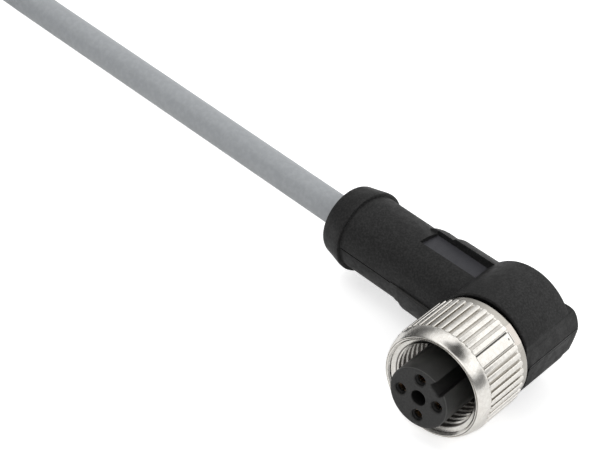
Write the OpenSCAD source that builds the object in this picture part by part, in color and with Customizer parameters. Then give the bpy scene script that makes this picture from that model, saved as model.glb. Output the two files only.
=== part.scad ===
// Right-angle M12 socket cordset: a moulded grip body, a free coupling nut, an insert
// with four socket contacts, and a cable with a bare far end.
// The mating axis is the Y axis. The plug comes from -Y and meets the insert at y = 0.
// The cable leaves towards -X and leans back by cable_lean. +Z is up, and the parting
// plane of the moulding is z = 0.

/* [Mating face] */
// Outer diameter of the contact insert
insert_d = 8.3; // [8.0:0.05:8.5]
// Bevel round the front edge of the insert
insert_bevel = 0.1; // [0.05:0.05:0.4]
// Circle through the centres of the contacts
contact_circle = 5.3; // [5.2:0.05:5.4]
// Diameter of the lead-in bevel in front of each contact
funnel_d = 2.05; // [2.0:0.05:2.2]
// Depth of that bevel
funnel_depth = 0.45; // [0.3:0.05:0.6]
// Diameter of the unused centre position
blank_d = 2.1; // [1.6:0.1:2.2]
// Depth of the unused centre position
blank_depth = 6; // [4:0.5:8]
// Width of the coding groove
key_w = 1.9; // [1.6:0.1:2.0]
// Depth of the coding groove below the insert's surface
key_depth = 1.15; // [0.9:0.05:1.2]
// Length of the coding groove from the mating face
key_len = 8; // [6:0.5:8.2]
// Distance from the mating face to the cable axis
reach = 18.65; // [18.4:0.05:20]

/* [Contacts] */
// Diameter of the pins that the contacts take
pin_d = 1; // [0.9:0.05:1.1]
// Radial clearance of a contact's bore round its pin
pin_gap = 0.02; // [0.01:0.01:0.04]
// Outer diameter of a contact
contact_d = 1.8; // [1.7:0.05:1.85]
// Diameter of the barb that holds a contact
barb_d = 2.3; // [2.1:0.1:2.5]
// Depth of a contact's bore
contact_bore = 6; // [5:0.25:6.5]
// Distance of a contact's front end from the mating face
contact_setback = 0.7; // [0.6:0.05:1.0]
// Overall length of a contact
contact_len = 14; // [13.6:0.1:14.5]
// Distance of the barb from a contact's front end
barb_at = 8; // [7.5:0.1:8.5]
// Length of the slots that let a contact spring
slot_len = 4; // [3:0.25:4.5]
// Width of those slots
slot_w = 0.18; // [0.1:0.02:0.24]

/* [Coupling nut] */
// Diameter over the ribs
nut_d = 15; // [14.8:0.1:15.4]
// Diameter of the plain collar behind the ribs
nut_collar_d = 14.25; // [14:0.05:14.5]
// Outer diameter of the front lip
lip_d = 13.8; // [13.5:0.1:14.4]
// Diameter of the mouth at the lip
mouth_d = 12.4; // [12.2:0.1:13.2]
// Thread's major diameter
thread_major = 12; // [12:0.1:12.2]
// Thread's pitch
thread_pitch = 1; // [0.75:0.25:1.25]
// Distance of the lip behind the mating face
lip_setback = 2.6; // [2.2:0.1:3.0]
// Length of the nut
nut_len = 10.15; // [10:0.05:10.3]
// Length of the smooth band in front of the ribs
band_len = 2.4; // [2:0.1:2.8]
// Length of the ribs
rib_len = 6.5; // [6:0.1:6.8]
// Number of narrow ribs; one wide rib marks the start of the thread
rib_count = 42; // [36:1:46]
// Angle taken by the wide rib
wide_rib_angle = 12.8; // [11:0.2:15]
// Width of the groove between two ribs
rib_gap = 0.4; // [0.2:0.02:0.46]
// Thickness of the inward flange at the back
nut_flange = 1.75; // [1.5:0.05:1.9]

/* [Seal and seat] */
// Diameter of the neck that the nut turns on
neck_d = 9.24; // [9:0.04:9.6]
// Radial clearance of the nut on that neck
neck_gap = 0.07; // [0.04:0.01:0.1]
// Diameter of the insert's flange, which keeps the nut on
flange_d = 10.6; // [10.2:0.1:10.8]
// Thickness of that flange
flange_len = 1.1; // [0.9:0.1:1.3]
// Play of the nut along its axis, in front of its own flange
play_front = 0.2; // [0.1:0.05:0.4]
// Gap between the nut and the grip body
play_back = 0.3; // [0.2:0.05:0.5]
// Thickness of the sealing ring
seal_t = 1.1; // [1:0.05:1.15]
// How far the sealing ring is stretched over the insert
seal_grip = 0.04; // [0.02:0.01:0.08]

/* [Grip body] */
// Diameter of the elbow round the mating axis
elbow_d = 14; // [13.6:0.1:14.4]
// Distance from the cable axis to the back of the elbow
elbow_back = 4; // [3.6:0.1:4.4]
// Radius of the elbow's back edge
elbow_edge = 0.8; // [0.4:0.1:1.2]
// Distance from the mating axis to the ridge of the outer side
keel_x = 6.72; // [6.5:0.02:6.9]
// Slope of the two flats beside that ridge
keel_slope = 7.8; // [4:0.2:10]
// Diameter of the heel that closes the elbow
heel_d = 11.3; // [10.8:0.1:11.6]
// Diameter of the arm's plain front where it meets the elbow
arm_d = 10.7; // [10.5:0.1:10.9]
// Diameter of the rim behind the label pocket
rim_d = 11.88; // [11.6:0.02:12]
// Diameter of that rim's lower part
rim_step_d = 11.24; // [11.1:0.02:11.4]
// Distance from the mating axis to that lower part
rim_step_at = 12; // [11.4:0.1:12.6]
// Distance from the mating axis to the rim's end
rim_at = 16.2; // [15.6:0.1:16.8]
// Diameter of the arm's lower half
low_d = 11.16; // [11.02:0.02:11.3]
// Diameter of the lower half beside its inner step
low_step_d = 10.5; // [10.4:0.02:10.7]
// Distance from the mating axis to the lower half's inner step
step_at = 14.2; // [13.4:0.1:14.8]
// Distance from the mating axis to the lower half's outer step
low_step_at = 15.7; // [15.2:0.1:16.4]
// How much the arm's radius grows towards the elbow
root_flare = 0.2; // [0.1:0.05:0.3]
// Diameter of the barrel
barrel_d = 10.2; // [9.9:0.02:10.3]
// Diameter of the collar at the cable end
collar_d = 11.2; // [10.9:0.02:11.4]
// Distance from the mating axis to the collar's shoulder
collar_at = 25; // [24.4:0.1:25.6]
// Distance from the mating axis to the cable end of the body
arm_len = 28.6; // [28.2:0.1:29.2]
// Angle by which the arm leans back from a right angle
cable_lean = 10; // [6:0.5:12]
// Height of the label pocket's floor above the arm's axis
pocket_floor = 4.5; // [4.2:0.05:4.7]
// Width of the label pocket
pocket_w = 3.2; // [2.8:0.1:3.6]
// Sideways place of the label pocket, towards the back
pocket_shift = 0.35; // [0:0.05:0.6]
// Distance from the mating axis to the pocket's outer end
pocket_at = 14.8; // [14.2:0.1:15.4]

/* [Inside] */
// Diameter of the inner moulding behind the insert
inner_d = 8.6; // [8:0.1:9]
// Diameter of the inner moulding along the arm
inner_arm_d = 7; // [6.4:0.1:7.4]
// Distance from the mating axis to the end of the inner moulding
inner_len = 14; // [13:0.2:16]
// Gap between pieces that are moulded onto each other
bond_gap = 0.02; // [0.01:0.01:0.04]

/* [Cable] */
// Outer diameter of the cable
cable_d = 4.3; // [4.1:0.05:4.5]
// Diameter of one insulated core
core_d = 1.2; // [1.1:0.05:1.3]
// Circle through the centres of the cores
core_circle = 1.8; // [1.75:0.05:1.9]
// Distance from the mating axis to where the jacket is cut
jacket_at = 11.5; // [11:0.5:12.5]
// Diameter of a bare strand
strand_d = 0.7; // [0.6:0.05:0.8]
// Length of the tinned strand at the far end of each core
tip_len = 6; // [4:0.5:8]

/* [Hidden] */

$fn = 64;

// Nut: rib_turn is the wide rib's place at rest, from +X towards +Z
rib_turn = 45.7;
lip_y = lip_setback;
rib_front_y = lip_y + band_len;
rib_back_y = rib_front_y + rib_len;
nut_back_y = lip_y + nut_len;
nut_flange_y = nut_back_y - nut_flange;
thread_depth = 0.5413 * thread_pitch;
thread_minor = thread_major - 2 * thread_depth;
thread_end_y = nut_flange_y - 1.6;
thread_start_y = lip_y + (mouth_d - thread_minor) / 2;
thread_turns = floor((thread_end_y - thread_start_y) / thread_pitch);
neck_bore_d = neck_d + 2 * neck_gap;

// Seat of the nut
body_front_y = nut_back_y + play_back;
flange_back_y = nut_flange_y - play_front;
flange_front_y = flange_back_y - flange_len;
insert_back_y = body_front_y + 0.3;

// Contacts
contact_r = contact_circle / 2;
contact_back_y = contact_setback + contact_len;
barb_y = contact_setback + barb_at;
barb_len = 0.8;
// Place of each contact round the mating axis, from +X towards +Z
contact_angle = [90, 0, 270, 180];
key_angle = 45;

// Inner moulding and cores
inner_back_y = reach + 2.6;
core_r = core_circle / 2;
strand_in = 1.6;

// The cable's route in the arm's frame: the distance out along the arm, the offset
// towards the back, and the height over the arm's axis
cable_route = [
    [30, 0, 0], [41, 0, 0], [52, 0, 0], [63, 0, 0], [74, 0, 0], [85, 0, 0], [96, 0, 0], [102, 0, 0],
    [107, 0, -0.65], [112, 0, -2.25], [117, 0, -3.95], [122, 0, -4.8], [126, 0, -4.85],
    [130.5, -0.2, -4.85], [135.5, -1.2, -4.85], [141.7, -2.3, -4.85]
];
// The hank: the centres of its two bends, the radii of its outer and inner sides
hank_near = [-133.65, 19.5];
hank_far = [-166.65, 19.5];
hank_outer_r = 23.65;
hank_inner_r = 10.75;
hank_base = -7;
hank_h = 17.2;
// The ties round the hank's two sides
tie_at = -150.15;
tie_w = 5;
tie_t = 0.48;
// The last turn and the tail, in the part's frame
tail_route = [
    [-186.2, 30.8, 8.05], [-190.3, 19.5, 8.05], [-188, 7.2, 8.05], [-179.4, -2.6, 8.05],
    [-166.65, -6.3, 7.9], [-158, -6.8, 6.9], [-150, -7, 4.2], [-142, -7, 0.8], [-134, -7, -2.7],
    [-126, -7, -4.9], [-118, -7, -5.35], [-114, -7, -5.35]
];
// Route of each lead beyond the cut end of the jacket, in the part's frame
lead_routes = [
    [[-114, -7, -4.45], [-111, -7.1, -4.6], [-108, -7.4, -5.2], [-105, -7.8, -6.1], [-102, -8.2, -6.7],
        [-99, -8.5, -6.9], [-95, -8.6, -6.9], [-90.5, -8.4, -6.9]],
    [[-114, -6.1, -5.35], [-111, -6, -5.5], [-108, -5.6, -6], [-105, -5.1, -6.6], [-102, -4.8, -6.9],
        [-98, -4.5, -6.9], [-94, -4.5, -6.9], [-90.5, -4.7, -6.9]],
    [[-114, -7, -6.25], [-111, -7, -6.4], [-108, -6.9, -6.7], [-105, -6.7, -6.9], [-101, -6.4, -6.9],
        [-97, -6.3, -6.9], [-93, -6.4, -6.9], [-89.5, -6.6, -6.9]],
    [[-114, -7.9, -5.35], [-111, -8.1, -5.6], [-108, -8.8, -6.2], [-105, -9.6, -6.7], [-102, -10.2, -6.9],
        [-98, -10.6, -6.9], [-94, -10.7, -6.9], [-90.5, -10.4, -6.9]]
];

// Places the children with their Z axis along +Y, from the given distance
module along_mating(y) {
    translate([0, y, 0]) rotate([-90, 0, 0]) children();
}

// The arm's frame: -X runs out along the arm from the elbow's centre
module arm_frame() {
    translate([0, reach, 0]) rotate([0, 0, -cable_lean]) children();
}

// Places the children with their Z axis out along the arm, from the given distance
module along_arm(s) {
    arm_frame() translate([-s, 0, 0]) rotate([0, -90, 0]) children();
}

// A point of the arm's frame in the part's frame
function from_arm(p) = [
    -p[0] * cos(cable_lean) + p[1] * sin(cable_lean),
    reach + p[0] * sin(cable_lean) + p[1] * cos(cable_lean),
    p[2]
];

// A point on the circle of the contacts, at one angle
function on_circle(radius, angle) = [radius * cos(angle), radius * sin(angle)];

// A solid disc from the back, bevelled round its upper edge
module disc(d, h, bevel = 0) {
    rotate_extrude()
        polygon([[0, 0], [d / 2, 0], [d / 2, h - bevel], [d / 2 - bevel, h], [0, h]]);
}

// A solid disc whose upper edge is rounded
module rounded_disc(d, h, edge) {
    rotate_extrude() union() {
        square([d / 2 - edge, h]);
        square([d / 2, h - edge]);
        translate([d / 2 - edge, h - edge]) circle(edge);
    }
}

// A straight rod between two points
module rod(a, b, d) {
    run = b - a;
    len = norm(run);
    translate(a)
        rotate([0, acos(run[2] / len), atan2(run[1], run[0])])
            cylinder(h = len, d = d);
}

// One face of a swept tube's skin, as two triangles for each side
function tube_skin(rings, sides) = [
    for (i = [0:rings - 2], j = [0:sides - 1])
        let (k = (j + 1) % sides, a = i * sides, b = a + sides)
            each [[a + j, b + k, a + k], [a + j, b + j, b + k]]
];

// The direction of travel at one point of a route
function heading(route, i) =
    let (a = max(i - 1, 0), b = min(i + 1, len(route) - 1), run = route[b] - route[a])
        run / norm(run);

// The ring of a tube's skin round one point of a route
function tube_ring(route, i, r, sides) =
    let (along = heading(route, i), side = cross([0, 0, 1], along) / norm(cross([0, 0, 1], along)),
        up = cross(along, side))
        [for (j = [0:sides - 1]) route[i] + r * (cos(360 * j / sides) * side + sin(360 * j / sides) * up)];

// A tube along a route, with flat ends
module tube(route, d, sides = 12) {
    rings = len(route);
    last = (rings - 1) * sides;
    polyhedron(
        points = [for (i = [0:rings - 1]) each tube_ring(route, i, d / 2, sides)],
        faces = concat(
            [[for (j = [0:sides - 1]) j]],
            tube_skin(rings, sides),
            [[for (j = [0:sides - 1]) last + sides - 1 - j]]
        )
    );
}

// The nut's outside without its ribs: lip, smooth band and plain collar
module nut_blank() {
    band_r = nut_d / 2;
    lip_r = lip_d / 2;
    collar_r = nut_collar_d / 2;
    edge = 0.25;
    along_mating(0) rotate_extrude() polygon([
        [0, lip_y], [lip_r - 0.12, lip_y], [lip_r, lip_y + 0.12],
        [(lip_r + band_r) / 2 + 0.02, lip_y + 0.35 * band_len], [band_r - 0.06, lip_y + 0.7 * band_len],
        [band_r, rib_front_y], [collar_r, rib_front_y + 0.1],
        [collar_r, nut_back_y - edge], [collar_r - edge, nut_back_y], [0, nut_back_y]
    ]);
}

// One rib at angle zero, with a flat top and a rounded back end
module rib(width, end) {
    foot = nut_collar_d / 2 - 0.15;
    top = nut_d / 2 - 0.02;
    translate([foot, 0, 0]) rotate([0, 90, 0]) linear_extrude(top - foot) union() {
        translate([-width / 2, rib_front_y - 0.12]) square([width, rib_len + 0.12 - end]);
        intersection() {
            translate([0, rib_back_y - end]) scale([width / 2 / end, 1]) circle(end, $fn = 24);
            translate([-width / 2, rib_back_y - end - 0.05]) square([width, end + 0.05]);
        }
    }
}

// All the ribs round the nut
module ribs() {
    pitch = (360 - wide_rib_angle) / rib_count;
    first = rib_turn + (wide_rib_angle + pitch) / 2;
    for (i = [0:rib_count - 1])
        rotate([0, -first - i * pitch, 0]) rib(PI * nut_d * pitch / 360 - rib_gap, 0.36);
    rotate([0, -rib_turn, 0]) rib(PI * nut_d * wide_rib_angle / 360 - rib_gap, 0.36);
}

// The threaded inside of the nut: mouth, thread as ring grooves, relief and neck bore
module nut_inside() {
    minor_r = thread_minor / 2;
    major_r = thread_major / 2;
    crest = thread_pitch / 8;
    relief_r = major_r + 0.1;
    along_mating(0) rotate_extrude() union() {
        polygon(concat(
            [[0, lip_y - 1], [mouth_d / 2 + 1, lip_y - 1], [minor_r, thread_start_y]],
            [for (i = [0:thread_turns - 1]) let (y = thread_start_y + i * thread_pitch) each [
                [minor_r, y + crest], [major_r, y + thread_pitch / 2 - crest / 2],
                [major_r, y + thread_pitch / 2 + crest / 2], [minor_r, y + thread_pitch - crest]
            ]],
            [[minor_r, thread_end_y], [relief_r, thread_end_y], [relief_r, nut_flange_y], [0, nut_flange_y]]
        ));
        translate([0, nut_flange_y - 1]) square([neck_bore_d / 2, nut_flange + 2]);
    }
}

module coupling_nut() {
    color("silver") difference() {
        union() {
            nut_blank();
            ribs();
        }
        nut_inside();
    }
}

// The space that one contact fills in the insert, with a gap all round
module contact_seat(gap) {
    seat_d = contact_d + 2 * gap;
    along_mating(-1) cylinder(h = contact_back_y + 1, d = seat_d);
    along_mating(0) cylinder(h = funnel_depth, d1 = funnel_d, d2 = seat_d);
    along_mating(-1) cylinder(h = 1.001, d = funnel_d);
    along_mating(barb_y) cylinder(h = barb_len, d = barb_d + 2 * gap);
}

// Repeats the children at each contact's place
module at_contact(i) {
    p = on_circle(contact_r, contact_angle[i]);
    translate([p[0], 0, p[1]]) children();
}

module contact_insert() {
    color("dimgray") difference() {
        union() {
            along_mating(flange_back_y) mirror([0, 0, 1]) disc(insert_d, flange_back_y, insert_bevel);
            along_mating(flange_front_y) cylinder(h = flange_len, d = flange_d);
            along_mating(flange_front_y) cylinder(h = insert_back_y - flange_front_y, d = neck_d);
        }
        for (i = [0:3]) at_contact(i) contact_seat(bond_gap);
        along_mating(-1) cylinder(h = blank_depth + 1, d = blank_d);
        rotate([0, -key_angle, 0])
            translate([insert_d / 2 - key_depth, -1, -key_w / 2])
                cube([key_depth + 1, key_len + 1, key_w]);
    }
}

module seal_ring() {
    color("black") along_mating(flange_front_y - seal_t / 2)
        rotate_extrude() translate([insert_d / 2 - seal_grip + seal_t / 2, 0]) circle(d = seal_t);
}

// One contact: a slotted socket in front, a barb and a cup for the core's strand
module contact(i) {
    bore_d = pin_d + 2 * pin_gap;
    cup_d = strand_d + 2 * bond_gap;
    color("gold") at_contact(i) difference() {
        union() {
            along_mating(contact_setback) cylinder(h = contact_len, d = contact_d);
            along_mating(barb_y) cylinder(h = barb_len, d1 = contact_d, d2 = barb_d);
        }
        along_mating(contact_setback - 1) cylinder(h = contact_bore + 1, d = bore_d);
        along_mating(contact_back_y - strand_in) cylinder(h = strand_in + 1, d = cup_d);
        rotate([0, -contact_angle[i] - 90, 0])
            translate([-contact_d, contact_setback - 1, -slot_w / 2])
                cube([2 * contact_d, slot_len + 1, slot_w]);
    }
}

// The path of one core, from its contact round the elbow to the jacket's cut end
function core_path(i) =
    let (
        c = on_circle(contact_r, contact_angle[i]),
        j = on_circle(core_r, contact_angle[i]),
        start = [c[0], contact_back_y + 0.8, c[1]],
        end = from_arm([jacket_at - 3.5, j[0], j[1]]),
        corner = [c[0], end[1] - (c[0] - end[0]) * tan(cable_lean), (c[1] + j[1]) / 2]
    )
        concat(
            [[c[0], contact_back_y, c[1]]],
            [for (t = [0:0.125:1]) (1 - t) * (1 - t) * start + 2 * t * (1 - t) * corner + t * t * end],
            [from_arm([jacket_at, j[0], j[1]])]
        );

// A core and the bare strand that goes into its contact
module core(i) {
    tube(core_path(i), core_d, 8);
    at_contact(i) along_mating(contact_back_y - strand_in)
        cylinder(h = strand_in + 0.3, d = strand_d);
}

// The inner moulding: round the contacts' tails, the cores and the jacket's cut end
module inner_mould() {
    color("whitesmoke") difference() {
        union() {
            along_mating(insert_back_y) cylinder(h = inner_back_y - insert_back_y, d = inner_d);
            along_arm(0) cylinder(h = inner_len, d = inner_arm_d);
        }
        for (i = [0:3]) {
            at_contact(i) along_mating(insert_back_y - 1)
                cylinder(h = contact_back_y - insert_back_y + 1, d = contact_d + 2 * bond_gap);
            tube(core_path(i), core_d + 2 * bond_gap, 8);
        }
        along_arm(jacket_at - 0.01) cylinder(h = inner_len, d = cable_d + 2 * bond_gap);
        along_mating(0) cylinder(h = insert_back_y, d = 2 * elbow_d);
    }
}

// The elbow round the mating axis, with its heel, cut by the flats of the outer side
module elbow() {
    back = reach + elbow_back;
    difference() {
        union() {
            along_mating(body_front_y) rounded_disc(elbow_d, back - body_front_y, elbow_edge);
            intersection() {
                translate([0, reach, 0]) rotate([0, 90, 0]) cylinder(h = elbow_d, d = heel_d);
                along_mating(body_front_y) cylinder(h = reach, d = elbow_d);
            }
        }
        for (side = [-1, 1])
            translate([keel_x, 0, 0]) rotate([0, side * keel_slope, 0])
                translate([0, 0, -elbow_d]) cube([elbow_d, 3 * reach, 2 * elbow_d]);
    }
}

// The arm's plain outside: a tapered root, the barrel and the collar
module plain_arm() {
    collar_r = collar_d / 2;
    barrel_r = barrel_d / 2;
    taper = arm_len - collar_at;
    along_arm(0) rotate_extrude() polygon([
        [0, 0], [arm_d / 2, 0], [barrel_r, low_step_at], [barrel_r, collar_at],
        [collar_r - 0.08, collar_at], [collar_r, collar_at + 0.08], [collar_r, collar_at + 0.24],
        [collar_r - 0.15, collar_at + 0.28 * taper], [collar_r - 0.4, collar_at + 0.58 * taper],
        [collar_r - 0.55, collar_at + 0.78 * taper], [collar_r - 0.66, arm_len - 0.3],
        [collar_r - 0.92, arm_len], [0, arm_len]
    ]);
}

// A thicker root of the arm that comes down to the barrel in two small steps
module stepped_root(d, step_d, step_at, end_at) {
    edge = 0.15;
    along_arm(0) rotate_extrude() polygon([
        [0, 0], [d / 2 + root_flare, 0], [d / 2, step_at - edge], [step_d / 2, step_at],
        [step_d / 2, end_at - edge], [barrel_d / 2 - 0.1, end_at], [0, end_at]
    ]);
}

// The arm's outside: the plain arm, the thicker lower half, and the rim behind the pocket
module arm() {
    plain_arm();
    intersection() {
        stepped_root(low_d, low_step_d, step_at, low_step_at);
        arm_frame() translate([-2 * rim_at, -rim_d, -rim_d]) cube([3 * rim_at, 2 * rim_d, rim_d]);
    }
    intersection() {
        stepped_root(rim_d, rim_step_d, rim_step_at, rim_at);
        arm_frame() translate([-2 * rim_at, pocket_shift + pocket_w / 2, -rim_d])
            cube([3 * rim_at, rim_d, 2 * rim_d]);
    }
}

// The pocket for a label, on the upper side
module label_pocket() {
    arm_frame() translate([-pocket_at, pocket_shift - pocket_w / 2, pocket_floor])
        cube([pocket_at, pocket_w, rim_d]);
}

module grip_body() {
    color("#303234") difference() {
        union() {
            elbow();
            difference() {
                arm();
                label_pocket();
                mirror([0, 0, 1]) label_pocket();
            }
        }
        along_mating(0) cylinder(h = body_front_y, d = 3 * elbow_d);
        along_mating(body_front_y - 1) cylinder(h = insert_back_y - body_front_y + 1, d = neck_d + 2 * bond_gap);
        along_mating(insert_back_y - 1)
            cylinder(h = inner_back_y - insert_back_y + 1 + bond_gap, d = inner_d + 2 * bond_gap);
        along_arm(0) cylinder(h = inner_len + bond_gap, d = inner_arm_d + 2 * bond_gap);
        along_arm(0) cylinder(h = arm_len + 1, d = cable_d + 2 * bond_gap);
    }
}

// The free cable, from its cut end in the body to the hank
module cable() {
    color("lightslategray") tube(
        [for (p = concat([[jacket_at, 0, 0]], cable_route)) from_arm(p)], cable_d);
}

// The outline of the hank's side at one radius: two round ends and the straights between
module racetrack(r) {
    for (c = [hank_near, hank_far]) translate(c) circle(r);
    translate([hank_far[0], hank_far[1] - r]) square([hank_near[0] - hank_far[0], 2 * r]);
}

module cable_hank() {
    color("lightslategray") translate([0, 0, hank_base]) linear_extrude(hank_h) difference() {
        racetrack(hank_outer_r);
        racetrack(hank_inner_r);
    }
}

module cable_tail() {
    color("lightslategray") tube(tail_route, cable_d);
}

// One flat tie round each side of the hank
module cable_ties() {
    lane = hank_outer_r - hank_inner_r;
    color("black") for (y = [hank_near[1] - hank_outer_r, hank_near[1] + hank_inner_r])
        difference() {
            translate([tie_at - tie_w / 2, y - tie_t - bond_gap, hank_base - tie_t - bond_gap])
                cube([tie_w, lane + 2 * (tie_t + bond_gap), hank_h + 2 * (tie_t + bond_gap)]);
            translate([tie_at - tie_w, y - bond_gap, hank_base - bond_gap])
                cube([2 * tie_w, lane + 2 * bond_gap, hank_h + 2 * bond_gap]);
        }
}

// One core beyond the jacket's far end
module lead(i) {
    tube(lead_routes[i], core_d, 8);
}

// The tinned strand that ends a lead
module tip(i) {
    route = lead_routes[i];
    end = route[len(route) - 1];
    run = end - route[len(route) - 2];
    color("silver") rod(end, end + tip_len * run / norm(run), strand_d);
}

coupling_nut();
contact_insert();
seal_ring();
inner_mould();
grip_body();
contact(0);  // contact_1
contact(1);  // contact_2
contact(2);  // contact_3
contact(3);  // contact_4
color("saddlebrown") core(0);  // core_brown
color("white") core(1);  // core_white
color("royalblue") core(2);  // core_blue
color("black") core(3);  // core_black
cable();
cable_hank();
cable_tail();
cable_ties();
color("saddlebrown") lead(0);  // lead_brown
color("white") lead(1);  // lead_white
color("royalblue") lead(2);  // lead_blue
color("black") lead(3);  // lead_black
tip(0);  // tip_brown
tip(1);  // tip_white
tip(2);  // tip_blue
tip(3);  // tip_black
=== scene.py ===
"""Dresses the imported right-angle M12 cordset: moulded grip, nickel nut, keyed insert and cable.

The part's frame has its origin on the insert's front face, the mating direction along -Y and up along
+Z. All pieces are made at their own place in it. Sizes in this script are in millimetres and degrees
unless a comment says otherwise, and become metres by the factor MM.
"""

import contextlib
import math

import bpy
from mathutils import Matrix, Vector


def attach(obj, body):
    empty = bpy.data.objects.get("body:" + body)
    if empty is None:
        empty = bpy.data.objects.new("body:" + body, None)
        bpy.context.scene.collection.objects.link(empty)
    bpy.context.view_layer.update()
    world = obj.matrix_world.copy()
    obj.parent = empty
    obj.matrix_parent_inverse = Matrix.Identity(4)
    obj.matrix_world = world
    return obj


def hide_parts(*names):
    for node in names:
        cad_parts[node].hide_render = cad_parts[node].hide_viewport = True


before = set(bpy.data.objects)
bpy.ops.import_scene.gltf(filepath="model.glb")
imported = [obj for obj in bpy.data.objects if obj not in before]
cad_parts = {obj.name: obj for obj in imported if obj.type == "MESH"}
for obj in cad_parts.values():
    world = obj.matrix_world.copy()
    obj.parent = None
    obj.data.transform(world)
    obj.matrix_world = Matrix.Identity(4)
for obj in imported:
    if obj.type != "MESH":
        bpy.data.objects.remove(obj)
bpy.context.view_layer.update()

MM = 0.001
# The surface that the part lies on.
GROUND = -7.5
# From the insert's face to the arm's axis, along the mating axis.
REACH = 18.65
# How far the arm leans back, in radians.
LEAN = math.radians(10)
CABLE_D = 4.3
LEAD_D = 1.13


def at(x, y, z):
    return Matrix.Translation(Vector((x, y, z)) * MM)


def grey(level):
    return (level, level, level)


def from_arm(point):
    """A point of the arm's frame (out along the arm, towards the back, up), in metres."""
    out, behind, up = point
    return Vector((
        -out * math.cos(LEAN) + behind * math.sin(LEAN),
        REACH + out * math.sin(LEAN) + behind * math.cos(LEAN),
        up,
    )) * MM


# Each turns a lathe's local Z onto an axis: the mating axis (+Y) or the arm's axis, where local X points
# to the back and local Y down.
MATING = Matrix(((1, 0, 0), (0, 0, 1), (0, -1, 0))).to_4x4()
ARM = at(0, REACH, 0) @ Matrix((
    (math.sin(LEAN), 0, -math.cos(LEAN)), (math.cos(LEAN), 0, math.sin(LEAN)), (0, -1, 0),
)).to_4x4()
# Each turns a rod's local Z onto the part's X or Y.
ALONG_X = Matrix.Rotation(math.pi / 2, 4, "Y")
ALONG_Y = Matrix.Rotation(math.pi / 2, 4, "X")


# ---------------------------------------------------------------- camera

CAMERA_TURN, CAMERA_LIFT, CAMERA_ROLL = 36.081, 35.861, 3.564
CAMERA_PLACE = (144.58, -224.21, 215.1)
CAMERA_LENS, CAMERA_SENSOR = 172.6, 36
# Nearest and farthest distance seen, in metres.
CAMERA_NEAR, CAMERA_FAR = 0.02, 20


def make_camera():
    turn, lift, roll = (math.radians(a) for a in (CAMERA_TURN, CAMERA_LIFT, CAMERA_ROLL))
    back = Vector((math.sin(turn) * math.cos(lift), -math.cos(turn) * math.cos(lift), math.sin(lift)))
    right = Vector((math.cos(turn), math.sin(turn), 0))
    up = back.cross(right)
    side = right * math.cos(roll) + up * math.sin(roll)
    top = up * math.cos(roll) - right * math.sin(roll)
    bpy.ops.object.camera_add()
    camera = bpy.context.object
    camera.name = "studio_camera"
    camera.matrix_world = at(*CAMERA_PLACE) @ Matrix((side, top, back)).transposed().to_4x4()
    camera.data.lens = CAMERA_LENS
    camera.data.sensor_width = CAMERA_SENSOR
    camera.data.clip_start, camera.data.clip_end = CAMERA_NEAR, CAMERA_FAR
    camera.data.dof.use_dof = False
    bpy.context.scene.camera = camera


# ---------------------------------------------------------------- node tools

def new_group(name, inputs, outputs):
    """A named shader group with (label, kind) sockets; returns it with its input and output nodes."""
    group = bpy.data.node_groups.new(name, "ShaderNodeTree")
    for way, sockets in (("INPUT", inputs), ("OUTPUT", outputs)):
        for label, kind in sockets:
            group.interface.new_socket(name=label, in_out=way, socket_type="NodeSocket" + kind)
    return group, group.nodes.new("NodeGroupInput"), group.nodes.new("NodeGroupOutput")


def add(tree, kind, settings=None, **values):
    """A node with its plain properties in settings, and its inputs by name (Base_Color) or number (_0)."""
    node = tree.nodes.new(kind)
    for key, value in (settings or {}).items():
        setattr(node, key, value)
    for key, value in values.items():
        socket = node.inputs[int(key[1:])] if key[0] == "_" else node.inputs[key.replace("_", " ")]
        if isinstance(value, bpy.types.NodeSocket):
            tree.links.new(value, socket)
        else:
            socket.default_value = value
    return node


def math_node(tree, operation, a, b=0.0, c=0.0):
    return add(tree, "ShaderNodeMath", {"operation": operation}, _0=a, _1=b, _2=c).outputs[0]


def ramp(tree, value, low, high, to_low=0.0, to_high=1.0):
    """Value from low to high, mapped smoothly from to_low to to_high."""
    return add(tree, "ShaderNodeMapRange", {"interpolation_type": "SMOOTHSTEP"}, Value=value,
               From_Min=low, From_Max=high, To_Min=to_low, To_Max=to_high).outputs["Result"]


def mix_colour(tree, factor, a, b):
    return add(tree, "ShaderNodeMix", {"data_type": "RGBA"}, _0=factor, _6=a, _7=b).outputs[2]


# How large the fine grain is beside the broad one.
GRAIN_SHARE = 0.2


def make_grain_group():
    """Fine moulded or cast grain: a shade and a cloud from 0 to 1, and a height."""
    group, given, out = new_group(
        "surface_grain", [("Vector", "Vector"), ("Scale", "Float")],
        [("Shade", "Float"), ("Height", "Float"), ("Cloud", "Float")])
    vector, scale = given.outputs["Vector"], given.outputs["Scale"]
    fine = add(group, "ShaderNodeTexNoise", Vector=vector, Scale=scale, Detail=3.0, Roughness=0.6).outputs[0]
    broad_scale = math_node(group, "MULTIPLY", scale, GRAIN_SHARE)
    broad = add(group, "ShaderNodeTexNoise", Vector=vector, Scale=broad_scale, Detail=2.0,
                Roughness=0.5).outputs[0]
    for name, value in (
        ("Shade", ramp(group, fine, 0.38, 0.68)),
        ("Height", math_node(group, "MULTIPLY_ADD", broad, 0.5, fine)),
        ("Cloud", ramp(group, broad, 0.32, 0.7)),
    ):
        group.links.new(value, out.inputs[name])


def shader_of(material):
    return next(n for n in material.node_tree.nodes if n.type == "BSDF_PRINCIPLED")


def start_material(name, **shader):
    """A material with its Principled shader's own constants set."""
    material = bpy.data.materials.new(name)
    material.use_nodes = True
    principled = shader_of(material)
    for key, value in shader.items():
        principled.inputs[key.replace("_", " ")].default_value = value
    return material, material.node_tree, principled


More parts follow.
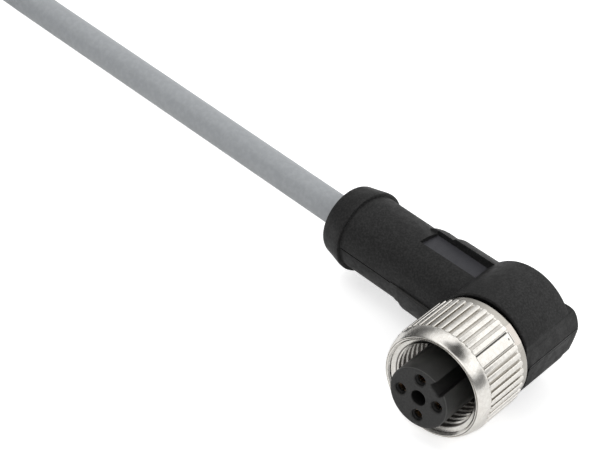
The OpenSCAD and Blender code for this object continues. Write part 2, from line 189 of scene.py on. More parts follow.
def object_coords(material):
    """The material's Object coordinates, from one node however often they are asked for."""
    nodes = material.node_tree.nodes
    node = next((n for n in nodes if n.type == "TEX_COORD"), None)
    return (node or nodes.new("ShaderNodeTexCoord")).outputs["Object"]


def make_zone_group():
    """One where a point lies inside the given box, with soft sides; sizes in metres."""
    group, given, out = new_group(
        "zone", [("Vector", "Vector"), ("Low", "Vector"), ("High", "Vector"), ("Softness", "Float")],
        [("Inside", "Float")])
    inside = None
    parts = [group.nodes.new("ShaderNodeSeparateXYZ") for _ in range(3)]
    for part, name in zip(parts, ("Vector", "Low", "High")):
        group.links.new(given.outputs[name], part.inputs[0])
    for axis in "XYZ":
        for a, b in ((parts[0], parts[1]), (parts[2], parts[0])):
            gap = math_node(group, "SUBTRACT", a.outputs[axis], b.outputs[axis])
            share = add(group, "ShaderNodeMath", {"operation": "DIVIDE", "use_clamp": True},
                        _0=gap, _1=given.outputs["Softness"]).outputs[0]
            inside = share if inside is None else math_node(group, "MULTIPLY", inside, share)
    group.links.new(inside, out.inputs["Inside"])


def round_the_axis(material):
    """Distance from the mating axis, place along it, and degrees from +X towards +Z, all in thousandths."""
    tree = material.node_tree
    split = add(tree, "ShaderNodeSeparateXYZ", Vector=object_coords(material))
    square = math_node(tree, "MULTIPLY", split.outputs["X"], split.outputs["X"])
    square = math_node(tree, "MULTIPLY_ADD", split.outputs["Z"], split.outputs["Z"], square)
    turn = math_node(tree, "ARCTAN2", split.outputs["Z"], split.outputs["X"])
    return add(tree, "ShaderNodeCombineXYZ", X=math_node(tree, "SQRT", square), Y=split.outputs["Y"],
               Z=math_node(tree, "MULTIPLY", turn, math.degrees(MM))).outputs[0]


def along_the_arm(material):
    """Places as (minus the distance out along the arm, sideways towards the back, up), in metres."""
    return add(material.node_tree, "ShaderNodeMapping", Vector=object_coords(material), Rotation=(0, 0, LEAN),
               Location=(math.sin(LEAN) * REACH * MM, -math.cos(LEAN) * REACH * MM, 0)).outputs[0]


def tint_zones(material, vector, zones):
    """Lays another colour over each box of places: (low corner, high corner, softness, colour, strength)."""
    tree = material.node_tree
    base_colour = shader_of(material).inputs["Base Color"]
    for low, high, softness, colour, strength in zones:
        zone = add(tree, "ShaderNodeGroup", {"node_tree": bpy.data.node_groups["zone"]}, Vector=vector,
                   Low=Vector(low) * MM, High=Vector(high) * MM, Softness=softness * MM)
        share = math_node(tree, "MULTIPLY", zone.outputs["Inside"], strength)
        under = base_colour.links[0].from_socket
        tree.links.new(mix_colour(tree, share, under, (*colour, 1)), base_colour)


def grained(name, dark, light, rough, grain_scale, bump_depth, **shader):
    """A finish whose colour, gloss and relief all follow one grain; the relief's depth is in metres."""
    material, tree, principled = start_material(name, **shader)
    grain = add(tree, "ShaderNodeGroup", {"node_tree": bpy.data.node_groups["surface_grain"]},
                Vector=object_coords(material), Scale=grain_scale)
    colour = mix_colour(tree, grain.outputs["Shade"], (*dark, 1), (*light, 1))
    tree.links.new(colour, principled.inputs["Base Color"])
    tree.links.new(ramp(tree, grain.outputs["Cloud"], 0, 1, *rough), principled.inputs["Roughness"])
    bump = add(tree, "ShaderNodeBump", Height=grain.outputs["Height"], Strength=1.0, Distance=bump_depth)
    tree.links.new(bump.outputs["Normal"], principled.inputs["Normal"])
    return material


# ---------------------------------------------------------------- shape tools

def pick_only(thing):
    if bpy.context.object and bpy.context.object.mode != "OBJECT":
        bpy.ops.object.mode_set(mode="OBJECT")
    bpy.ops.object.select_all(action="DESELECT")
    bpy.context.view_layer.objects.active = thing
    thing.select_set(True)


def apply_all(thing):
    pick_only(thing)
    for modifier in list(thing.modifiers):
        bpy.ops.object.modifier_apply(modifier=modifier.name)


@contextlib.contextmanager
def editing(thing):
    """Edit mode on one piece, and back."""
    pick_only(thing)
    bpy.ops.object.mode_set(mode="EDIT")
    yield
    bpy.ops.object.mode_set(mode="OBJECT")


def weld(distance):
    """Merges the edited piece's vertices that are closer than a distance in metres."""
    bpy.ops.mesh.select_all(action="SELECT")
    bpy.ops.mesh.remove_doubles(threshold=distance)


def place(thing, matrix):
    """Moves a piece by its mesh, so that its object stays at the origin."""
    thing.data.transform(matrix)
    thing.data.update()


def drawn_profile(name, points):
    """A line through (radius, height) points in the XZ plane, in millimetres, drawn by extrusion."""
    bpy.ops.object.select_all(action="DESELECT")
    bpy.ops.mesh.primitive_plane_add(size=MM)
    line = bpy.context.object
    line.name = name
    with editing(line):
        bpy.ops.mesh.select_mode(type="VERT")
        bpy.ops.mesh.select_all(action="SELECT")
        bpy.ops.mesh.merge(type="CENTER")
        first = Vector((points[0][0], 0, points[0][1])) * MM
        bpy.ops.transform.translate(value=first)
        for a, b in zip(points, points[1:]):
            step = Vector((b[0] - a[0], 0, b[1] - a[1])) * MM
            bpy.ops.mesh.extrude_region_move(TRANSFORM_OT_translate={"value": step})
    return line


def turned(name, points, steps, matrix):
    """A closed shape turned from its profile about the local Z axis, then put in place."""
    piece = drawn_profile(name, points)
    screw = piece.modifiers.new("turn", "SCREW")
    screw.axis = "Z"
    screw.steps = screw.render_steps = steps
    screw.use_merge_vertices = True
    screw.merge_threshold = 1e-6
    apply_all(piece)
    tidy(piece)
    place(piece, matrix)
    smooth_by(piece, 35)
    return piece


def tidy(piece):
    """Welds what coincides and turns all faces outwards."""
    with editing(piece):
        weld(2e-6)
        bpy.ops.mesh.normals_make_consistent(inside=False)


def smooth_by(piece, degrees):
    pick_only(piece)
    bpy.ops.object.shade_smooth_by_angle(angle=math.radians(degrees))


def cut(piece, tool, operation="DIFFERENCE"):
    """Cuts a piece by a tool, or joins or crosses the two; the tool is used up."""
    boolean = piece.modifiers.new("cut", "BOOLEAN")
    boolean.operation = operation
    boolean.solver = "EXACT"
    boolean.object = tool
    apply_all(piece)
    bpy.data.objects.remove(tool)


def rod(name, radius, depth, matrix, steps=48):
    """A round rod along local Z, its middle at the matrix's place."""
    bpy.ops.object.select_all(action="DESELECT")
    bpy.ops.mesh.primitive_cylinder_add(vertices=steps, radius=radius * MM, depth=depth * MM)
    piece = bpy.context.object
    piece.name = name
    place(piece, matrix)
    return piece


def block(name, size, matrix):
    """A block with its middle at the matrix's place."""
    bpy.ops.object.select_all(action="DESELECT")
    bpy.ops.mesh.primitive_cube_add(size=1)
    piece = bpy.context.object
    piece.name = name
    place(piece, matrix @ Matrix.Diagonal((*(side * MM for side in size), 1)))
    return piece


def join(pieces, name):
    bpy.ops.object.select_all(action="DESELECT")
    for piece in pieces:
        piece.select_set(True)
    bpy.context.view_layer.objects.active = pieces[0]
    bpy.ops.object.join()
    joined = bpy.context.object
    joined.name = joined.data.name = name
    return joined


def prism(name, outline, steps, matrix):
    """A closed outline of (x, z) points, drawn out along Y.

    Each step is (how far along Y, scale of the outline at its end).
    """
    piece = drawn_profile(name, outline)
    with editing(piece):
        bpy.ops.mesh.select_mode(type="VERT")
        weld(1e-6)
        bpy.ops.mesh.select_all(action="SELECT")
        bpy.ops.mesh.edge_face_add()
        for reach, scale in steps:
            bpy.ops.mesh.extrude_region_move(TRANSFORM_OT_translate={"value": (0, reach * MM, 0)})
            bpy.ops.transform.resize(value=(scale, 1, scale))
    tidy(piece)
    place(piece, matrix)
    return piece


def bevel(piece, width, segments, degrees):
    """Bevels the edges that are sharper than an angle."""
    edges = piece.modifiers.new("soft_edge", "BEVEL")
    edges.width = width * MM
    edges.segments = segments
    edges.limit_method = "ANGLE"
    edges.angle_limit = math.radians(degrees)
    apply_all(piece)


def bevel_where(piece, chosen, width, segments=4):
    """Bevels the edges whose two ends, in millimetres, pass the given test."""
    with editing(piece):
        bpy.ops.mesh.select_mode(type="EDGE")
        bpy.ops.mesh.select_all(action="DESELECT")
    points = piece.data.vertices
    for edge in piece.data.edges:
        a, b = (points[i].co / MM for i in edge.vertices)
        edge.select = chosen(a, b)
    with editing(piece):
        bpy.ops.mesh.bevel(offset=width * MM, segments=segments, affect="EDGES")


def copy_of(piece, name, matrix):
    pick_only(piece)
    bpy.ops.object.duplicate()
    twin = bpy.context.object
    twin.name = name
    place(twin, matrix)
    return twin


def dress(piece, finish):
    piece.data.materials.clear()
    piece.data.materials.append(finish)


def give(piece, finish, body, slot, *nodes):
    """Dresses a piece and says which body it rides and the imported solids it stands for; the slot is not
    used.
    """
    dress(piece, finish)
    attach(piece, body)
    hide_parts(*nodes)
    return piece


# ---------------------------------------------------------------- cable and leads

# The free stretch is in the arm's frame; the hank, the tail and the leads are in the part's frame.
CABLE_OUT = [
    (12, 0, 0), (30, 0, 0), (41, 0, 0), (52, 0, 0), (63, 0, 0), (74, 0, 0), (85, 0, 0), (96, 0, 0),
    (102, 0, 0), (107, 0, -0.65), (112, 0, -2.25), (117, 0, -3.95), (122, 0, -4.8), (126, 0, -4.85),
    (130.5, -0.2, -4.85),
]
# The middles of the hank's two bends, (x, y), and the height of the cable in each layer.
HANK_NEAR, HANK_FAR = (-133.65, 19.5), (-166.65, 19.5)
HANK_LAYERS = (-4.85, -0.55, 3.75, 8.05)
# The lane's radius at the start, then each turn's after its far bend and after its near bend.
HANK_START_LANE = 21.5
HANK_LANES = (
    (21.5, 17.2), (17.2, 12.9), (12.9, 12.9), (17.2, 17.2), (21.5, 21.5), (21.5, 17.2),
    (17.2, 12.9), (12.9, 12.9), (17.2, 17.2), (21.5, 21.5), (25.7, None),
)
# The straights on which the cable rises by one layer: (turn, which side).
HANK_RISES = ((2, "front"), (5, "back"), (7, "front"))
# From the top of the hank back along its front side, to the jacket's cut end.
CABLE_TAIL = [
    (-158, -6.8, 6.9), (-150, -7, 4.2), (-142, -7, 0.8), (-134, -7, -2.7),
    (-126, -7, -4.9), (-118, -7, -5.35), (-114, -7, -5.35),
]
# Each lead, from the jacket's cut end to its tinned tip.
LEADS = {
    "brown": [(-114, -7, -4.45), (-111, -7.1, -4.6), (-108, -7.4, -5.2), (-105, -7.8, -6.1),
              (-102, -8.2, -6.7), (-99, -8.5, -6.9), (-95, -8.6, -6.9), (-90.5, -8.4, -6.9)],
    "white": [(-114, -6.1, -5.35), (-111, -6, -5.5), (-108, -5.6, -6), (-105, -5.1, -6.6),
              (-102, -4.8, -6.9), (-98, -4.5, -6.9), (-94, -4.5, -6.9), (-90.5, -4.7, -6.9)],
    "blue": [(-114, -7, -6.25), (-111, -7, -6.4), (-108, -6.9, -6.7), (-105, -6.7, -6.9),
             (-101, -6.4, -6.9), (-97, -6.3, -6.9), (-93, -6.4, -6.9), (-89.5, -6.6, -6.9)],
    "black": [(-114, -7.9, -5.35), (-111, -8.1, -5.6), (-108, -8.8, -6.2), (-105, -9.6, -6.7),
              (-102, -10.2, -6.9), (-98, -10.6, -6.9), (-94, -10.7, -6.9), (-90.5, -10.4, -6.9)],
}


def eased(share):
    share = min(max(share, 0), 1)
    return share * share * (3 - 2 * share)


def bend(centre, start, run, radii, height):
    """Points of one bend, turning by 180 degrees while its radius eases from one lane to the next."""
    points = []
    for turn in range(0, 181, 15):
        angle = math.radians(start + turn)
        radius = radii[0] + (radii[1] - radii[0]) * eased(turn / run)
        points.append((centre[0] + radius * math.cos(angle), centre[1] + radius * math.sin(angle), height))
    return points


def hank_points():
    """Centreline of the hank: eleven turns in four layers, in three lanes; the last bend goes wider."""
    lane, layer = HANK_START_LANE, 0
    points = [(HANK_NEAR[0], HANK_NEAR[1] + lane, HANK_LAYERS[layer])]
    for turn, (far, near) in enumerate(HANK_LANES):
        sides = (("back", HANK_FAR, 90, 180, far), ("front", HANK_NEAR, -90, 150, near))
        for side, centre, start, run, after in sides:
            if after is None:
                break
            low = HANK_LAYERS[layer]
            layer += (turn, side) in HANK_RISES
            y = centre[1] + (lane if side == "back" else -lane)
            begin = HANK_NEAR[0] if side == "back" else HANK_FAR[0]
            for share in (0.25, 0.5, 0.75):
                x = begin + (centre[0] - begin) * share
                points.append((x, y, low + (HANK_LAYERS[layer] - low) * eased(share)))
            points += bend(centre, start, run, (lane, after), HANK_LAYERS[layer])
            lane = after
    return points


def round_line(name, points, diameter, sides):
    """A round cord along a smooth line through points in metres; more sides make it rounder."""
    data = bpy.data.curves.new(name, "CURVE")
    data.dimensions = "3D"
    data.bevel_depth = diameter / 2 * MM
    data.bevel_resolution = sides
    data.resolution_u = data.render_resolution_u = 4
    data.use_fill_caps = True
    spline = data.splines.new("BEZIER")
    spline.bezier_points.add(len(points) - 1)
    for knot, point in zip(spline.bezier_points, points):
        knot.co = point
        knot.handle_left_type = knot.handle_right_type = "AUTO"
    line = bpy.data.objects.new(name, data)
    bpy.context.scene.collection.objects.link(line)
    return line


def make_cable(jacket, cores, tinned, ties):
    """The whole cable as one cord, with its leads and their tinned tips; the ties are not used."""
    route = [from_arm(p) for p in CABLE_OUT] + [Vector(p) * MM for p in hank_points() + CABLE_TAIL]
    cable = round_line("cable_line", route, CABLE_D, sides=8)
    give(cable, jacket, "housing", "jacket_grey", "cable", "cable_hank", "cable_tail")
    ends = []
    for colour, points in LEADS.items():
        lead = round_line("lead_line_" + colour, [Vector(p) * MM for p in points], LEAD_D, sides=4)
        give(lead, cores[colour], "housing", "wire_" + colour, "lead_" + colour)
        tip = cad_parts["tip_" + colour]
        dress(tip, tinned)
        ends += [lead, tip]


# ---------------------------------------------------------------- coupling nut

# The ribs' ends along the mating axis.
RIB_FRONT, RIB_BACK = 4.57, 11.37
# The radii of the ribs' tops, of the grooves between them and of the ribs' roots inside the nut.
RIB_TOP, RIB_FOOT, RIB_ROOT = 7.46, 7.1, 6.85
RIB_COUNT, RIB_WIDTH = 42, 0.7
# The wide rib: its place round the axis, the angle that it takes and its width.
WIDE_RIB_TURN, WIDE_RIB_ANGLE, WIDE_RIB_WIDTH = 46.0, 12.9, 1.46
THREAD_MAJOR, THREAD_MINOR, THREAD_PITCH, THREAD_TURNS = 5.97, 5.459, 1, 7


def round_mating(degrees):
    """A turn about the mating axis, from +X towards +Z."""
    return Matrix.Rotation(-math.radians(degrees), 4, "Y")


def make_rib(name, width, end):
    """One bar of the knurl at angle zero, with a rounded top and its ends rounded by the given radius."""
    rib = block(name, (RIB_TOP - RIB_ROOT, RIB_BACK - RIB_FRONT, width),
                at((RIB_TOP + RIB_ROOT) / 2, (RIB_FRONT + RIB_BACK) / 2, 0))
    bevel_where(rib, lambda a, b: abs(a.y - b.y) < 0.01 and abs(a.z - b.z) < 0.01, end)
    bevel(rib, 0.11, 3, 50)
    return rib


def make_thread_cutter():
    """The helical groove of the nut's inside thread, as a closed shape."""
    thread = drawn_profile("thread_cutter", [
        (5.2, 2.06), (THREAD_MINOR, 2.06), (THREAD_MAJOR, 2.44), (THREAD_MAJOR, 2.56), (THREAD_MINOR, 2.94),
        (5.2, 2.94), (5.2, 2.06),
    ])
    with editing(thread):
        weld(1e-6)
    screw = thread.modifiers.new("helix", "SCREW")
    screw.axis = "Z"
    screw.screw_offset = THREAD_PITCH * MM
    screw.iterations = THREAD_TURNS
    screw.steps = screw.render_steps = 72
    apply_all(thread)
    with editing(thread):
        bpy.ops.mesh.select_all(action="SELECT")
        bpy.ops.mesh.fill_holes(sides=8)
    tidy(thread)
    place(thread, MATING)
    return thread


def make_knurl():
    """The narrow ribs and the wide one, all round the nut."""
    pitch = (360 - WIDE_RIB_ANGLE) / RIB_COUNT
    first = WIDE_RIB_TURN + (WIDE_RIB_ANGLE + pitch) / 2
    narrow = make_rib("rib", RIB_WIDTH, 0.24)
    ribs = [copy_of(narrow, "rib_%d" % i, round_mating(first + i * pitch)) for i in range(RIB_COUNT)]
    bpy.data.objects.remove(narrow)
    wide = make_rib("rib_wide", WIDE_RIB_WIDTH, 0.12)
    place(wide, round_mating(WIDE_RIB_TURN))
    return join(ribs + [wide], "knurl")


def make_nut(finish):
    # From the thread's first turn over the lip, the smooth band, the grooves' floor and the collar, then
    # through the flange's bore and the relief back to the thread.
    nut = turned("coupling_nut_shell", [
        (THREAD_MINOR, 3.52), (5.98, 3.2), (6.25, 3.1), (6.29, 3.06), (6.3, 2.86), (6.42, 2.74), (6.5, 2.65),
        (6.55, 2.61), (6.6, 2.6), (6.64, 2.63), (6.66, 2.74), (6.71, 2.76), (6.75, 2.71), (6.8, 2.7),
        (6.88, 2.78), (6.95, 2.93), (7.06, 3.16), (7.17, 3.45), (7.26, 3.8), (7.33, 4.2), (7.38, 4.55),
        (7.38, 4.64), (7.34, 4.72), (7.24, 4.8), (RIB_FOOT, 4.88), (RIB_FOOT, 12.45), (7.08, 12.58),
        (7.0, 12.69), (6.9, 12.74), (6.8, 12.75), (4.78, 12.75), (4.69, 12.66), (4.69, 11), (6.1, 11),
        (6.1, 9.4), (THREAD_MINOR, 9.4), (THREAD_MINOR, 3.52),
    ], 180, MATING)
    cut(nut, make_thread_cutter())
    cut(nut, make_knurl(), "UNION")
    # The wide rib marks the start of the thread, with a flat on the collar behind it.
    cut(nut, block("flat", (1, 1.4, 6), round_mating(WIDE_RIB_TURN) @ at(7.42, 12.3, 0)))
    tidy(nut)
    smooth_by(nut, 30)
    return give(nut, finish, "nut", "nut_nickel", "coupling_nut")


# ---------------------------------------------------------------- contact insert

# Distance of the contacts from the mating axis, their places round it and the coding groove's.
PIN_RADIUS = 2.65
PIN_TURNS = (90, 0, 270, 180)
KEY_TURN = 45


def mirrored(*half):
    """A closed outline from its half at positive z."""
    return [*half, *((x, -z) for x, z in reversed(half)), half[0]]


def make_insert(finish):
    insert = turned("contact_insert_shell", [
        (0, 13.35), (4.62, 13.35), (4.62, 10.8), (5.3, 10.8), (5.3, 9.7), (4.15, 9.7), (4.15, 0.12),
        (4.13, 0.04), (4.07, 0), (3.75, 0), (2.65, 0), (1.55, 0), (1.1, 0), (1.05, 0.05), (1.05, 6), (0, 6),
    ], 128, MATING)
    for angle in PIN_TURNS:
        cut(insert, turned("seat", [
            (0, -1), (0.94, -1), (0.94, 0), (0.9, 0.05), (0.8, 0.1), (0.76, 0.3), (0.62, 0.42), (0.6, 0.66),
            (0.92, 0.66), (0.92, 8.68), (1.17, 8.68), (1.17, 9.52), (0.92, 9.52), (0.92, 15), (0, 15),
        ], 48, round_mating(angle) @ at(PIN_RADIUS, 0, 0) @ MATING))
    groove = prism("groove", mirrored((3.02, 0.6), (3.1, 0.78), (3.28, 0.86), (4.6, 0.9)),
                   [(1.35, 1), (7.65, 1)], round_mating(KEY_TURN) @ at(0, -1, 0))
    flare = prism("flare", mirrored((2.86, 0.66), (2.96, 0.9), (3.18, 1.03), (4.8, 1.06)),
                  [(0.5, 1), (0.3, 0.86)], round_mating(KEY_TURN) @ at(0, -0.55, 0))
    cut(insert, groove)
    cut(insert, flare)
    tidy(insert)
    smooth_by(insert, 35)
    return give(insert, finish, "housing", "insert_black", "contact_insert")


# ---------------------------------------------------------------- grip body

# The elbow's radius along X, and its height on each side of the parting line.
ELBOW_R, ELBOW_HEIGHT = 7, 7.45
HEEL_R = 5.65
# Where the heel's two flats meet at the parting line, from the mating axis, and their slope in degrees.
KEEL, KEEL_SLOPE = 6.72, 7.8


def make_elbow():
    """The round of the elbow, a little higher than wide, with the heel and its two flats."""
    elbow = turned("grip_body_shell", [
        (0, 13.05), (6.72, 13.05), (6.75, 13.14), (6.9, 13.16), (6.97, 13.2), (7, 13.28), (7, 21.95),
        (6.94, 22.15), (6.8, 22.29), (6.6, 22.36), (6.3, 22.38), (0, 22.38),
    ], 160, Matrix.Diagonal((1, 1, ELBOW_HEIGHT / ELBOW_R, 1)) @ MATING)
    heel = rod("heel", HEEL_R, 14, at(7, REACH, 0) @ ALONG_X, 160)
    cut(heel, rod("heel_limit", ELBOW_R, 20, at(0, 23.1, 0) @ ALONG_Y, 160), "INTERSECT")
    cut(elbow, heel, "UNION")
    for side in (-1, 1):
        slope = Matrix.Rotation(math.radians(side * KEEL_SLOPE), 4, "Y")
        cut(elbow, block("keel_flat", (10, 30, 30), at(KEEL, REACH, 0) @ slope @ at(5, 0, 0)))
    cut(elbow, block("front_relief", (2, 2, 6.5), at(7.3, 12.75, -3.25)))
    for height in (0.02, -0.42):
        cut(elbow, block("parting_line", (3, 12, 0.11), at(8.14, 19.7, height)))
    return elbow


def make_arm():
    """The arm with its collar, the fuller lower half, the rim beside the pocket and both pockets."""
    arm = turned("arm", [
        (0, 0), (5.35, 0), (5.1, 15.7), (5.1, 24.94), (5.13, 25), (5.5, 25), (5.57, 25.03), (5.6, 25.1),
        (5.6, 25.24), (5.56, 25.6), (5.45, 26.05), (5.2, 27.1), (5.05, 27.8), (4.94, 28.3),
        (4.84, 28.5), (4.68, 28.6), (0, 28.6),
    ], 144, ARM)
    low = turned("arm_low", [
        (0, -0.3), (5.78, -0.3), (5.58, 13.95), (5.54, 14.1), (5.27, 14.25), (5.25, 14.35), (5.24, 15.45),
        (5.2, 15.6), (4.98, 15.78), (0, 15.78),
    ], 132, ARM)
    cut(low, block("half", (60, 60, 20), at(-15, REACH, -10.004)), "INTERSECT")
    rim = turned("arm_rim", [
        (0, -0.6), (6.14, -0.6), (5.94, 11.7), (5.9, 11.9), (5.65, 12.1), (5.62, 12.25), (5.62, 14.6),
        (5.56, 15.2), (5.4, 15.8), (5.03, 16.43), (0, 16.43),
    ], 140, ARM)
    cut(rim, block("rim_side", (20, 14, 20), ARM @ at(11.93, 0, 8)), "INTERSECT")
    cut(arm, low, "UNION")
    cut(arm, rim, "UNION")
    for side in (-1, 1):
        cut(arm, block("pocket", (3.2, 4, 14.8), ARM @ at(0.35, side * 6.5, 7.4)))
        cut(arm, block("parting_line", (2, 0.13, 9.2), ARM @ at(side * 5.96, 0.15, 20.3)))
    return arm


def make_grip(finish):
    grip = make_elbow()
    cut(grip, make_arm(), "UNION")
    # Nothing of the arm may reach the nut; then the hollows for the insert and the inner moulding.
    cut(grip, rod("front_slab", 20, 3, at(0, 11.55, 0) @ ALONG_Y))
    cut(grip, turned("hollow", [
        (0, 12), (4.64, 12), (4.64, 13.35), (4.32, 13.35), (4.32, 21.27), (0, 21.27),
    ], 96, MATING))
    cut(grip, turned("passage", [
        (0, 0), (3.52, 0), (3.52, 14.02), (2.17, 14.02), (2.17, 30), (0, 30),
    ], 96, ARM))
    tidy(grip)
    grip.name = grip.data.name = "grip_body_shell"
    smooth_by(grip, 30)
    return give(grip, finish, "housing", "grip_black", "grip_body")


# ---------------------------------------------------------------- ties

def make_ties(finish):
    """The two ties again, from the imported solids, with softened edges."""
    pick_only(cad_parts["cable_ties"])
    bpy.ops.object.duplicate()
    ties = bpy.context.object
    ties.name = ties.data.name = "cable_ties_shell"
    tidy(ties)
    bevel(ties, 0.16, 2, 60)
    smooth_by(ties, 40)
    return give(ties, finish, "housing", "tie_black", "cable_ties")


# ---------------------------------------------------------------- floor and light

# How bright the floor is by itself: to the camera, and in the part's reflections.
FLOOR_SEEN, FLOOR_MIRRORED = 0.54, 0.2


def make_floor():
    bpy.ops.object.select_all(action="DESELECT")
    bpy.ops.mesh.primitive_grid_add(x_subdivisions=8, y_subdivisions=8, size=8, location=(0, 0, GROUND * MM))
    floor = bpy.context.object
    floor.name = "studio_floor"
    material, tree, principled = start_material(
        "floor_paper", Base_Color=(0.82, 0.82, 0.82, 1), Roughness=0.9, Specular_IOR_Level=0.1,
        Emission_Color=(1, 1, 1, 1))
    path = tree.nodes.new("ShaderNodeLightPath")
    glow = math_node(tree, "MULTIPLY", path.outputs["Is Glossy Ray"], FLOOR_MIRRORED)
    glow = math_node(tree, "MULTIPLY_ADD", path.outputs["Is Camera Ray"], FLOOR_SEEN, glow)
    tree.links.new(glow, principled.inputs["Emission Strength"])
    floor.data.materials.append(material)


# The studio's levels are kept in a ramp as shares of this one.
BRIGHTEST = 1.8


def sky_side(tree, place_on_ramp, stops):
    """Grey levels over a direction's X or Z, which run from -1 to 1, from stops of (X or Z, level)."""
    node = tree.nodes.new("ShaderNodeValToRGB")
    node.color_ramp.interpolation = "B_SPLINE"
    elements = node.color_ramp.elements
    elements[0].position, elements[1].position = 0, 1
    while len(elements) < len(stops):
        elements.new(0.5)
    for element, (way, level) in zip(elements, stops):
        element.position = way * 0.5 + 0.5
        element.color = (*grey(level / BRIGHTEST), 1)
    tree.links.new(place_on_ramp, node.inputs["Fac"])
    return node.outputs["Color"]


def make_light():
    """A studio of soft boxes with dark ground between them, round a white camera view, and two panels."""
    world = bpy.data.worlds.new("studio_world")
    bpy.context.scene.world = world
    world.use_nodes = True
    tree = world.node_tree
    background = next(n for n in tree.nodes if n.type == "BACKGROUND")
    path = tree.nodes.new("ShaderNodeLightPath")
    direction = tree.nodes.new("ShaderNodeTexCoord").outputs["Generated"]
    split = add(tree, "ShaderNodeSeparateXYZ", Vector=direction)
    height = math_node(tree, "MULTIPLY_ADD", split.outputs["Z"], 0.5, 0.5)
    across = math_node(tree, "MULTIPLY_ADD", split.outputs["X"], 0.5, 0.5)
    right = sky_side(tree, height, (
        (-1, 0.8), (-0.1, 0.7), (0.07, 0.42), (0.22, 0.14), (0.36, 0.4), (0.5, 1.42), (0.72, 1.5),
        (0.82, 0.9), (0.9, 0.1), (0.97, 0.05), (1, 0.15),
    ))
    left = sky_side(tree, height, (
        (-1, 0.9), (-0.1, 0.5), (0.06, 0.05), (0.3, 0.1), (0.52, 0.16), (0.66, 0.4), (0.8, 1.25),
        (0.88, 1.42), (0.95, 1.3), (0.985, 0.5), (1, 0.15),
    ))
    from_left = ramp(tree, split.outputs["X"], -0.12, 0.12)
    behind = sky_side(tree, across, (
        (-1, 0.25), (-0.8, 0.3), (-0.6, 0.5), (-0.3, 1.1), (0, 1.42), (0.5, 1.4), (0.8, 1.2), (1, 0.9),
    ))
    from_front = ramp(tree, split.outputs["Y"], 0.42, 0.62)
    studio = mix_colour(tree, from_front, mix_colour(tree, from_left, left, right), behind)
    seen = path.outputs["Is Camera Ray"]
    tree.links.new(mix_colour(tree, seen, studio, (1, 1, 1, 1)), background.inputs["Color"])
    tree.links.new(ramp(tree, seen, 0, 1, BRIGHTEST, 1), background.inputs["Strength"])
    # Each panel's power in watts and its place in metres; both face the connector.
    for name, power, place_at in (
        ("key_panel", 1.85, (-0.35, -0.25, 0.75)),
        ("fill_panel", 0.7, (0.7, -0.15, 0.5)),
    ):
        bpy.ops.object.light_add(type="AREA", location=place_at)
        panel = bpy.context.object
        panel.name = name
        panel.data.size = 0.6
        panel.data.energy = power
        panel.visible_glossy = False
        panel.rotation_euler = (-Vector(place_at)).to_track_quat("-Z", "Y").to_euler()


# ---------------------------------------------------------------- finishes

# Places round the axis are (radius, place along the axis, degrees). A zone from minus this to this goes
# all the way round.
ROUND = 999
# A gap so narrow that no light comes out of it.
GAP_BLACK = grey(0.0005)


def make_nickel():
    nickel = grained("nickel_plating", (0.74, 0.715, 0.67), (0.82, 0.8, 0.76), (0.17, 0.28), 2200, 0.000008,
                     Metallic=1.0)
    painted_rib_shade = (0.03, 0.03, 0.028)
    tint_zones(nickel, round_the_axis(nickel), (
        # Painted shade: the grooves' floors darkened, and dark lines beside and behind the wide rib where its
        # narrow gaps are shaded.
        ((6.9, 4.8, -ROUND), (7.34, 11.3, ROUND), 0.1, (0.42, 0.4, 0.37), 0.7),
        ((6.9, 4.8, 39.2), (7.4, 11.3, 53), 0.1, painted_rib_shade, 0.9),
        ((7, 11.02, 40.2), (7.6, 11.2, 52), 0.06, painted_rib_shade, 0.9),
        # The collar darkened as painted shade, less so on the flat on it, and the mark on the wide rib.
        ((6.5, 11.45, -ROUND), (7.3, 13, ROUND), 0.1, (0.32, 0.3, 0.265), 0.7),
        ((6.5, 11.35, 35), (7.3, 13, 57.2), 0.1, (0.66, 0.61, 0.56), 0.8),
        ((7.2, 10.47, 45.1), (7.6, 10.77, 47.3), 0.1, (0.04, 0.04, 0.035), 0.9),
        # Painted shade: a dark line in the turned groove on the lip, the thread's grooves darkened, and
        # darker towards the depth of the mouth.
        ((6.63, 2.6, -ROUND), (6.75, 2.9, ROUND), 0.03, (0.1, 0.09, 0.08), 0.6),
        ((5.6, 3.3, -ROUND), (6.4, 9.3, ROUND), 0.06, (0.05, 0.042, 0.036), 0.92),
        ((5, 6, -ROUND), (6.5, 9.5, ROUND), 2, (0.12, 0.1, 0.08), 0.6),
    ))
    return nickel


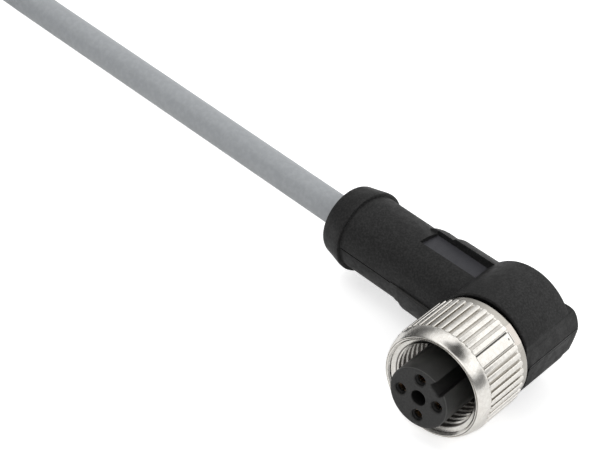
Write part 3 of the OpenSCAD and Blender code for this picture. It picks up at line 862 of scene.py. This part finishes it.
def make_grip_black():
    black = grained("grip_black", grey(0.014), grey(0.028), (0.5, 0.62), 4000, 0.00002,
                    Specular_IOR_Level=0.2)
    tint_zones(black, along_the_arm(black), (
        # The pocket's floor, the parting line, the ledge of the lower half, lightened as a painted highlight
        # where it mirrors the dark arm, and the rim's end face.
        ((-14.85, -1.3, 4.42), (-4.5, 1.97, 4.58), 0.04, (0.06, 0.06, 0.068), 0.75),
        ((-24.95, -9, -0.24), (-15.7, 9, -0.06), 0.03, grey(0.001), 0.95),
        ((-15.6, -5.62, -0.05), (-4, -5.2, 0.03), 0.05, (0.06, 0.06, 0.058), 0.9),
        ((-16.6, 1.9, 4.5), (-14.84, 2, 5.6), 0.04, grey(0.06), 0.9),
    ))
    tint_zones(black, round_the_axis(black), [
        # Painted shadow of the gap behind the nut, laid on the grip; it widens towards the heel and below:
        # (how far back, up to which angle).
        ((6, 13, -ROUND), (7.6, 13.15, ROUND), 0.04, GAP_BLACK, 0.97),
        *(((6, 13, -60), (7.6, back, turn), 0.1, GAP_BLACK, 0.97)
          for back, turn in ((13.95, 13), (14.3, 3), (14.8, -3), (15.1, -14))),
    ])
    tint_zones(black, object_coords(black), (
        # A dark line of painted shade along the upper edge of the flat, and the two parting-line grooves on
        # the heel.
        ((5.5, 13.5, 3), (7.2, 22.8, 3.3), 0.12, grey(0.006), 0.7),
        ((6.4, 13.6, -0.04), (8, 24, 0.09), 0.03, GAP_BLACK, 0.9),
        ((6.4, 13.6, -0.48), (8, 24, -0.36), 0.03, GAP_BLACK, 0.9),
    ))
    return black


def make_insert_black():
    black = grained("insert_black", (0.024, 0.024, 0.0235), (0.038, 0.038, 0.037), (0.42, 0.5), 4000,
                    0.000008, Specular_IOR_Level=0.25)
    tint_zones(black, round_the_axis(black), (
        # The side darkened as painted shade, a painted highlight on the edge of the face, and painted shade
        # on everything inside the holes.
        ((4, -0.1, -ROUND), (4.3, 14, ROUND), 0.05, (0.018, 0.018, 0.017), 0.8),
        ((4.04, -0.05, -ROUND), (4.2, 0.14, ROUND), 0.03, (0.075, 0.075, 0.072), 0.7),
        ((-1, 0.12, -ROUND), (3.95, 14, ROUND), 0.05, grey(0.004), 0.85),
    ))
    return black


def make_core_finish(name, dark, light):
    return grained(name, dark, light, (0.35, 0.45), 1500, 0.000004)


# ---------------------------------------------------------------- build

make_camera()
bpy.context.scene.view_settings.view_transform = "Standard"
make_grain_group()
make_zone_group()

jacket_grey = grained("jacket_grey", (0.33, 0.345, 0.36), (0.37, 0.385, 0.40), (0.42, 0.52), 1500, 0.00001)
core_finish = {
    "brown": make_core_finish("core_brown_finish", (0.19, 0.075, 0.03), (0.24, 0.1, 0.045)),
    "white": make_core_finish("core_white_finish", (0.72, 0.72, 0.7), (0.8, 0.8, 0.78)),
    "blue": make_core_finish("core_blue_finish", (0.04, 0.13, 0.42), (0.06, 0.18, 0.5)),
    "black": make_core_finish("core_black_finish", (0.015, 0.015, 0.016), (0.025, 0.025, 0.026)),
}
tinned_strand = grained("tinned_strand", (0.6, 0.6, 0.58), (0.75, 0.75, 0.73), (0.25, 0.45), 3000, 0.00001,
                        Metallic=1.0)
nickel = make_nickel()
grip_black = make_grip_black()
insert_black = make_insert_black()
gold = grained("contact_gold", (0.72, 0.55, 0.38), (0.82, 0.66, 0.48), (0.2, 0.3), 2500, 0.000004,
               Metallic=1.0)
seal_rubber = grained("seal_rubber", (0.012, 0.012, 0.013), (0.02, 0.02, 0.021), (0.4, 0.5), 3000, 0.000006)
tie_black = grained("tie_black", (0.012, 0.012, 0.013), (0.02, 0.02, 0.021), (0.45, 0.55), 3000, 0.000006)
inner_natural = grained("inner_natural", (0.6, 0.59, 0.54), (0.68, 0.67, 0.62), (0.45, 0.55), 3000, 0.00001)

make_cable(jacket_grey, core_finish, tinned_strand, make_ties(tie_black))
make_nut(nickel)
make_insert(insert_black)
make_grip(grip_black)

for node, finish in (
    ("coupling_nut", nickel), ("contact_insert", insert_black), ("grip_body", grip_black),
    ("cable_ties", tie_black), ("seal_ring", seal_rubber), ("inner_mould", inner_natural),
    *(("contact_%d" % number, gold) for number in (1, 2, 3, 4)),
    *(("core_" + colour, core_finish[colour]) for colour in core_finish),
):
    dress(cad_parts[node], finish)

make_floor()
make_light()
